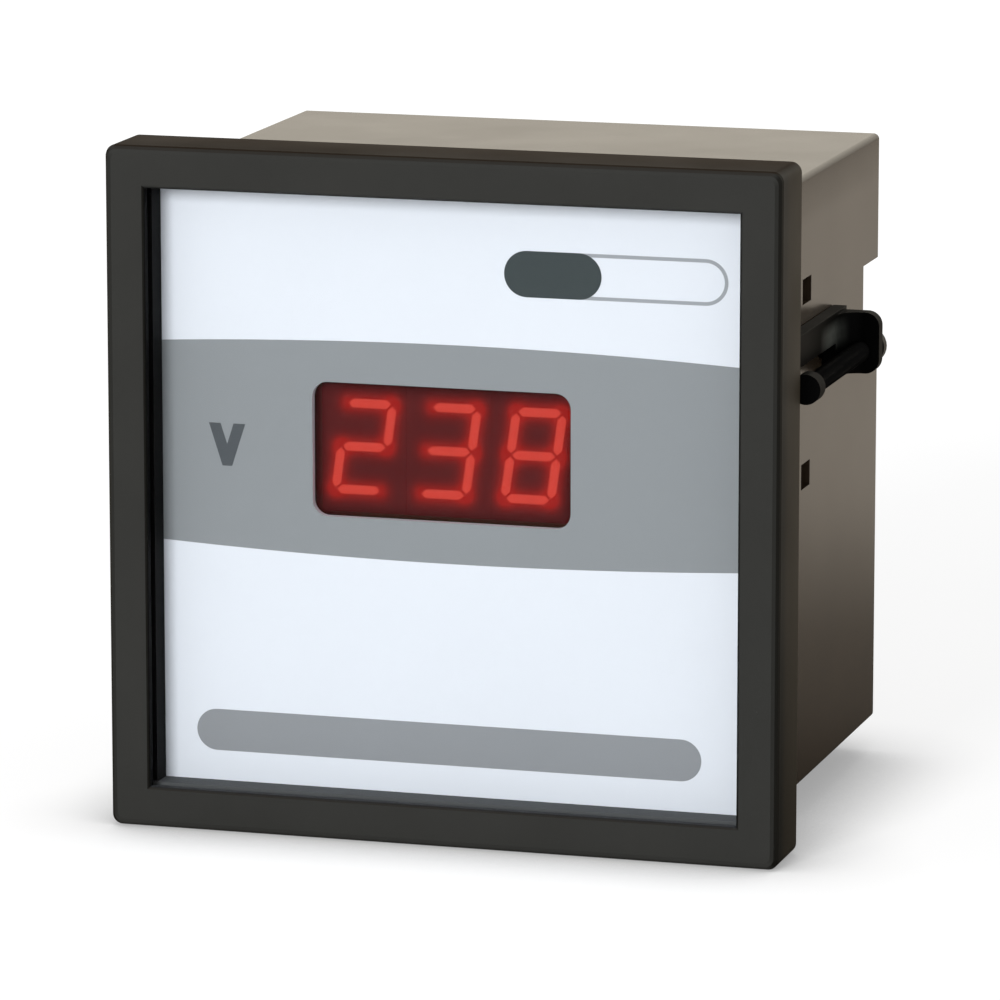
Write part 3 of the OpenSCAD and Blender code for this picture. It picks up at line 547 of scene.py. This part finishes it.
dress(metal("brass_strip", (0.72, 0.5, 0.2)), "terminal_contacts")
dress(bracket_paint(), *copies("bracket"))
dress(plastic("pad_nylon", grey(0.002), (0.5, 0.6), Specular_IOR_Level=0.04),
      *copies("clamp_pad"))


# ---------------------------------------------------------------- making of pieces

def add_object(name, data):
    """New object in the scene."""
    obj = bpy.data.objects.new(name, data)
    scene.collection.objects.link(obj)
    return obj


def make_piece(name, mesh, material, body):
    """New piece that rides on a body, with its finish."""
    obj = add_object(name, mesh)
    paint(obj, material)
    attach(obj, body)
    return obj


def finished(bm, mesh):
    """Moves what a bmesh holds into a mesh, with its faces turned outwards."""
    bmesh.ops.recalc_face_normals(bm, faces=bm.faces)
    bm.to_mesh(mesh)
    bm.free()
    return mesh


def evaluated(obj):
    """Mesh of an object once its curve is filled or its modifiers have run."""
    bpy.context.view_layer.update()
    depsgraph = bpy.context.evaluated_depsgraph_get()
    return bpy.data.meshes.new_from_object(obj.evaluated_get(depsgraph))


def welded(mesh):
    """Bmesh of a mesh with its double points joined."""
    bm = bmesh.new()
    bm.from_mesh(mesh)
    bmesh.ops.remove_doubles(bm, verts=bm.verts, dist=WELD)
    return bm


def add_wall(bm, ring_a, ring_b):
    """Faces between two closed rings of as many points."""
    count = len(ring_a)
    for k in range(count):
        n = (k + 1) % count
        bm.faces.new((ring_a[k], ring_b[k], ring_b[n], ring_a[n]))


# ---------------------------------------------------------------- printed fields

def outline_mesh(name, loops, front, thick):
    """Flat plate with holes: loops of (x, z) points, the first one its outside."""
    curve = bpy.data.curves.new(name, "CURVE")
    curve.dimensions = "2D"
    curve.fill_mode = "BOTH"
    curve.extrude = thick / 2
    for points in loops:
        spline = curve.splines.new("POLY")
        spline.points.add(len(points) - 1)
        for point, (x, z) in zip(spline.points, points):
            point.co = (x, z, 0, 1)
        spline.use_cyclic_u = True
    holder = add_object(name, curve)
    mesh = evaluated(holder)
    bpy.data.objects.remove(holder)
    bpy.data.curves.remove(curve)
    upright = Matrix.Rotation(math.pi / 2, 4, "X")
    mesh.transform(Matrix.Translation((0, front + thick / 2, 0)) @ upright)
    return finished(welded(mesh), mesh)


def rounded(cx, cz, w, h, r, steps=10):
    """Points of a rounded rectangle, anticlockwise from its lower right."""
    points = []
    for qx, qz, start in ((1, -1, -90), (1, 1, 0), (-1, 1, 90), (-1, -1, 180)):
        for k in range(steps + 1):
            a = math.radians(start + 90 * k / steps)
            points.append((cx + qx * (w / 2 - r) + r * math.cos(a),
                           cz + qz * (h / 2 - r) + r * math.sin(a)))
    return points


def pill(cx, cz, w, h):
    """Points of a bar with round ends."""
    return rounded(cx, cz, w, h, h / 2)


def arc_across(z_end, z_mid, steps=24):
    """Shallow arc across the plate, from left to right."""
    return [(x * OPENING_HALF, z_mid + (z_end - z_mid) * x * x)
            for x in (2 * k / steps - 1 for k in range(steps + 1))]


INK = 0.03 * MM


def ink(name, loops, tone, layer=0):
    """Printed field; layer 1 lies on top of layer 0."""
    mesh = outline_mesh(name, loops, plate_lo.y - INK - layer * INK, INK)
    make_piece(name, mesh, printed(name + "_ink", tone), "housing")


band_top = arc_across(z_end=20.0 * MM, z_mid=21.25 * MM)
band_bottom = arc_across(z_end=-8.2 * MM, z_mid=-9.4 * MM)
window = rounded(window_cx, window_cz, window_w, window_h, WINDOW_R)
ink("print_band", [band_bottom + band_top[::-1], window], BAND_TONE)

# Empty title field
TITLE_X, TITLE_Z, TITLE_W, TITLE_H = -1.0 * MM, -35.0 * MM, 73.0 * MM, 5.9 * MM
ink("print_title_field", [pill(TITLE_X, TITLE_Z, TITLE_W, TITLE_H)], TITLE_TONE)

# Empty type field: an outlined pill whose left part is filled
TYPE_X, TYPE_Z, TYPE_W, TYPE_H = 23.1 * MM, 31.6 * MM, 31.6 * MM, 6.4 * MM
TYPE_LINE, TYPE_FILL_W = 0.5 * MM, 13.8 * MM
ink("print_type_field", [pill(TYPE_X, TYPE_Z, TYPE_W, TYPE_H),
                         pill(TYPE_X, TYPE_Z, TYPE_W - 2 * TYPE_LINE, TYPE_H - 2 * TYPE_LINE)],
    TYPE_LINE_TONE)
ink("print_type_fill", [pill(TYPE_X - (TYPE_W - TYPE_FILL_W) / 2, TYPE_Z, TYPE_FILL_W, TYPE_H)],
    TYPE_FILL_TONE, layer=1)

# Unit symbol of a voltmeter: V with even strokes and a flat foot
V_MID, V_TOP, V_FOOT = -32.75 * MM, 8.7 * MM, 2.7 * MM
V_HALF, V_FOOT_HALF, V_STROKE = 2.65 * MM, 0.7 * MM, 1.7 * MM
v_notch = V_TOP - (V_HALF - V_STROKE) * (V_TOP - V_FOOT) / (V_HALF - V_FOOT_HALF)
v_right = [(V_FOOT_HALF, V_FOOT), (V_HALF, V_TOP), (V_HALF - V_STROKE, V_TOP)]
v_points = v_right + [(0, v_notch)] + [(-x, z) for x, z in v_right[::-1]]
ink("print_unit", [[(V_MID + x, z) for x, z in v_points]], UNIT_TONE, layer=1)


# ---------------------------------------------------------------- tinted lens

def lit_islands():
    """Points of each lit segment, from the islands of the segments' mesh."""
    bm = welded(nodes["lit_segments"].data)
    seen, islands = set(), []
    for start in bm.verts:
        if start in seen:
            continue
        stack, island = [start], []
        seen.add(start)
        while stack:
            v = stack.pop()
            island.append(v.co.copy())
            for e in v.link_edges:
                other = e.other_vert(v)
                if other not in seen:
                    seen.add(other)
                    stack.append(other)
        islands.append(island)
    bm.free()
    return islands


def main_line(points):
    """Ends of the line through the middle of a long thin island, in X and Z."""
    xs, zs = [p.x for p in points], [p.z for p in points]
    mean = Vector((sum(xs) / len(xs), sum(zs) / len(zs)))
    sxx = sum((x - mean.x) ** 2 for x in xs)
    szz = sum((z - mean.y) ** 2 for z in zs)
    sxz = sum((x - mean.x) * (z - mean.y) for x, z in zip(xs, zs))
    angle = 0.5 * math.atan2(2 * sxz, sxx - szz)
    u = Vector((math.cos(angle), math.sin(angle)))
    reach = [(Vector((x, z)) - mean).dot(u) for x, z in zip(xs, zs)]
    return mean + u * min(reach), mean + u * max(reach)


def painted_glow_at(x, z, lines):
    """Painted glow of the lit segments' lines at a place, fading with the distance from each."""
    p, total = Vector((x, z)), 0.0
    for a, b in lines:
        ab = b - a
        t = min(1.0, max(0.0, (p - a).dot(ab) / ab.length_squared))
        d = (p - a - ab * t).length / HALO
        total += math.exp(-d * d) if d < HALO_REACH else 0.0
    return min(1.0, total)


def lens_mesh(name):
    """Filter sheet: one face in front, and a grid behind that carries the painted glow."""
    lines = [main_line(points) for points in lit_islands()]
    w, h = filter_hi.x - filter_lo.x, filter_hi.z - filter_lo.z
    nx, nz = round(w / LENS_STEP), round(h / LENS_STEP)
    xs = [filter_lo.x + w * i / nx for i in range(nx + 1)]
    zs = [filter_lo.z + h * j / nz for j in range(nz + 1)]
    border = ([(i, 0) for i in range(nx)] + [(nx, j) for j in range(nz)]
              + [(i, nz) for i in range(nx, 0, -1)] + [(0, j) for j in range(nz, 0, -1)])
    bm = bmesh.new()
    glow = bm.verts.layers.float.new("glow")
    front = [bm.verts.new((xs[i], filter_lo.y, zs[j])) for i, j in border]
    rear = [[bm.verts.new((x, filter_hi.y, z)) for x in xs] for z in zs]
    for row in rear:
        for v in row:
            v[glow] = painted_glow_at(v.co.x, v.co.z, lines)
    bm.faces.new(front)
    add_wall(bm, front, [rear[j][i] for i, j in border])
    for low, high in zip(rear, rear[1:]):
        for i in range(nx):
            bm.faces.new((low[i], high[i], high[i + 1], low[i + 1]))
    return finished(bm, bpy.data.meshes.new(name))


lens = make_piece("tinted_lens", lens_mesh("tinted_lens"), tinted_lens(), "housing")
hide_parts("display_filter")


# ---------------------------------------------------------------- clamp screws

def screw_mesh(name, x, z, tip_y, head_y, head_r):
    """Plain tip, threaded shank and round head of one clamp screw, along Y."""
    start, end = tip_y + TIP_L, head_y - UNDERCUT
    count = round((end - start) / PITCH * PER_TURN)

    def plain(y, r):
        return y, [r] * AROUND

    def threaded(j):
        """Ring j of the thread, which fades out at both ends and widens from the tip."""
        y = start + (end - start) * j / count
        fade = min(1.0, j / PER_TURN, (count - j) / PER_TURN)
        lead = THREAD_DEPTH * (1 - min(1.0, j * 2 / PER_TURN))
        radii = []
        for k in range(AROUND):
            phase = ((y - start) / PITCH - k / AROUND) % 1.0
            radii.append(SHANK_R - THREAD_DEPTH * fade * (1 - abs(2 * phase - 1)) - lead)
        return y, radii

    rings = [plain(tip_y, TIP_R * TIP_END_SHARE), plain(tip_y + TIP_CHAMFER, TIP_R),
             plain(start, TIP_R)]
    rings += [threaded(j) for j in range(count + 1)]
    rings += [plain(head_y, SHANK_R), plain(head_y, head_r - HEAD_CHAMFER / 2),
              plain(head_y + HEAD_CHAMFER / 2, head_r),
              plain(head_y + HEAD_L - HEAD_CHAMFER, head_r),
              plain(head_y + HEAD_L, head_r - HEAD_CHAMFER)]
    angles = [2 * math.pi * k / AROUND for k in range(AROUND)]
    bm = bmesh.new()
    layers = [[bm.verts.new((x + r * math.cos(a), y, z + r * math.sin(a)))
               for r, a in zip(radii, angles)] for y, radii in rings]
    for layer, following in zip(layers, layers[1:]):
        add_wall(bm, layer, following)
    bm.faces.new(layers[0])
    bm.faces.new(layers[-1][::-1])
    return finished(bm, bpy.data.meshes.new(name))


def without_box(mesh, lo, hi):
    """Mesh with a box taken out of it."""
    bm = bmesh.new()
    bmesh.ops.create_cube(bm, size=1.0)
    size = [b - a for a, b in zip(lo, hi)]
    centre = [(a + b) / 2 for a, b in zip(lo, hi)]
    bm.transform(Matrix.Translation(centre) @ Matrix.Diagonal((*size, 1.0)))
    cutter = add_object("cutter", finished(bm, bpy.data.meshes.new("cutter")))
    blank = add_object("blank", mesh)
    modifier = blank.modifiers.new("slot", "BOOLEAN")
    modifier.object = cutter
    modifier.solver = "EXACT"
    result = evaluated(blank)
    bpy.data.objects.remove(blank)
    bpy.data.objects.remove(cutter)
    return result


blackened = screw_steel()
for side in ("right", "left"):
    node = f"clamp_screw_{side}"
    lo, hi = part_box(node)
    cx, cz = (lo.x + hi.x) / 2, (lo.z + hi.z) / 2
    head_r = (hi.x - lo.x) / 2
    mesh = screw_mesh(f"threaded_{node}", cx, cz, lo.y, hi.y - HEAD_L, head_r)
    mesh = without_box(mesh, (cx - SLOT_W / 2, hi.y - SLOT_D, cz - 2 * head_r),
                       (cx + SLOT_W / 2, hi.y + SLOT_D, cz + 2 * head_r))
    piece = make_piece(f"threaded_{node}", mesh, blackened, node)
    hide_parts(node)


# ---------------------------------------------------------------- stage

# Tones of what glossy surfaces see: the room behind the object, and the floor around it, with its
# painted shadow
WHITE = grey(1.0)
WARM = (1.0, 0.93, 0.8)
FLOOR_WARM = (1.0, 0.89, 0.75)
FLOOR_AHEAD = grey(0.6)
# The floor's level in gloss, by the distance from a place under the object: a painted shadow
FLOOR_MIDDLE = (0.02, 0.03, cad_lo.z)
GLOSS_PAINTED_SHADOW_LEVELS = ((0.03, 0.04), (0.07, 0.12), (0.125, 0.18), (0.18, 0.36), (0.225, 0.58), (0.3, 0.63))
AHEAD_FADE = 10 * MM
# The floor for the camera: its own tone, the light added as it fades into the backdrop,
# and how much of that light is left close to the object; other rays see a plain floor
FLOOR_TONE, FLOOR_PLAIN = grey(0.42), grey(0.8)
LIFT_NEAR, LIFT_FAR = 0.76, 0.9
FADE_START, FADE_END = 0.15, 0.8
CONTACT_REACH = 20 * MM
CONTACT_LEVELS = ((0.5, 0.42), (0.95, 1.0))
FLOOR_HALF = 6.0
FLOOR_GAP = 0.1 * MM
# The room's strength on the object, and in gloss ahead of it and behind it
ROOM_SOFT, ROOM_AHEAD, ROOM_BEHIND = 0.45, 0.9, 1.0
ROOM_TURN = (-0.2, 0.3)
# Key light and camera, with angles in degrees and the camera's lens in millimetres
KEY_AT, KEY_SIZE, KEY_POWER = Vector((-0.24, -1.6, 0.45)), 0.5, 22
CAMERA_AT, CAMERA_YAW, CAMERA_PITCH = (0.26295, -0.87581, 0.17807), 16.379, 11.087
SENSOR_W, LENS_LENGTH = 36, 242.65
CLIP_START, CLIP_END = 0.05, 50


def floor_material():
    """Pale floor: lifted to white for the camera, keeps its shadow, and carries a painted shadow,
    darker by the object, where glossy surfaces see it."""
    material = bpy.data.materials.new("studio_floor")
    material.use_nodes = True
    material.node_tree.nodes.clear()
    n = Nodes(material.node_tree)
    rays = n.add("LightPath").outputs
    gap = n.add("VectorMath", operation="DISTANCE")
    n.feed(gap, n.add("TexCoord").outputs["Object"], FLOOR_MIDDLE)
    distance = gap.outputs["Value"]
    # What glossy rays see: a painted shadow, dark beside the object, white further off ...
    around = n.ramp(distance, [(at, shade(FLOOR_WARM, level)) for at, level in GLOSS_PAINTED_SHADOW_LEVELS])
    # ... except ahead of the front frame, which sees a pale floor
    ahead = n.fall(n.part("Object", "Y"), cad_lo.y - AHEAD_FADE, cad_lo.y)
    in_gloss = n.feed(n.add("Emission"), n.blend(ahead, around, FLOOR_AHEAD))
    # What the camera sees: a floor that fades into the backdrop, shaded near the object
    nearby = n.put(n.add("AmbientOcclusion", samples=8), Distance=CONTACT_REACH).outputs["AO"]
    contact = n.ramp(nearby, [(at, grey(level)) for at, level in CONTACT_LEVELS])
    lift = n.feed(n.add("Emission"), contact,
                  n.span(distance, LIFT_NEAR, LIFT_FAR, FADE_START, FADE_END))
    for_camera = n.feed(n.add("AddShader"), n.feed(n.add("BsdfDiffuse"), FLOOR_TONE), lift)
    plain = n.feed(n.add("BsdfDiffuse"), FLOOR_PLAIN)
    unseen = n.feed(n.add("MixShader"), rays["Is Glossy Ray"], plain, in_gloss)
    surface = n.feed(n.add("MixShader"), rays["Is Camera Ray"], unseen, for_camera)
    n.put(n.add("OutputMaterial"), Surface=surface)
    return material


def add_floor():
    """Square floor just under the object."""
    z = cad_lo.z - FLOOR_GAP
    corners = [(x * FLOOR_HALF, y * FLOOR_HALF, z) for x, y in ((-1, -1), (1, -1), (1, 1), (-1, 1))]
    mesh = bpy.data.meshes.new("floor")
    mesh.from_pydata(corners, [], [(0, 1, 2, 3)])
    obj = add_object("floor", mesh)
    paint(obj, floor_material())


def light_world():
    """Room: white for the camera, soft on the object, and warm behind it for what is glossy."""
    world = bpy.data.worlds.new("studio") if scene.world is None else scene.world
    scene.world = world
    world.use_nodes = True
    world.node_tree.nodes.clear()
    n = Nodes(world.node_tree)

    def glow(colour, strength):
        return n.feed(n.add("Background"), colour, strength)

    rays = n.add("LightPath").outputs
    behind = n.rise(n.part("Generated", "Y"), *ROOM_TURN)
    in_gloss = n.feed(n.add("MixShader"), behind, glow(WHITE, ROOM_AHEAD), glow(WARM, ROOM_BEHIND))
    unseen = n.feed(n.add("MixShader"), rays["Is Glossy Ray"], glow(WHITE, ROOM_SOFT), in_gloss)
    surface = n.feed(n.add("MixShader"), rays["Is Camera Ray"], unseen, glow(WHITE, 1.0))
    n.put(n.add("OutputWorld"), Surface=surface)


def add_key_light():
    """Square softbox in front, above and to the left, turned to the object."""
    light = bpy.data.lights.new("key_softbox", "AREA")
    light.shape = "SQUARE"
    light.size = KEY_SIZE
    light.energy = KEY_POWER
    obj = add_object("key_softbox", light)
    obj.location = KEY_AT
    obj.rotation_euler = (-KEY_AT).to_track_quat("-Z", "Y").to_euler()
    # Glossy surfaces see the world and floor alone, so that no side shows a burnt-out highlight
    obj.visible_glossy = False


def add_camera():
    """Camera ahead of the front, a little above it and to the right."""
    camera = bpy.data.cameras.new("camera")
    camera.sensor_width = SENSOR_W
    camera.lens = LENS_LENGTH
    camera.clip_start = CLIP_START
    camera.clip_end = CLIP_END
    obj = add_object("camera", camera)
    obj.location = CAMERA_AT
    obj.rotation_euler = (math.radians(90 - CAMERA_PITCH), 0, math.radians(CAMERA_YAW))
    scene.camera = obj


add_floor()
light_world()
add_key_light()
add_camera()
scene.view_settings.view_transform = "Standard"
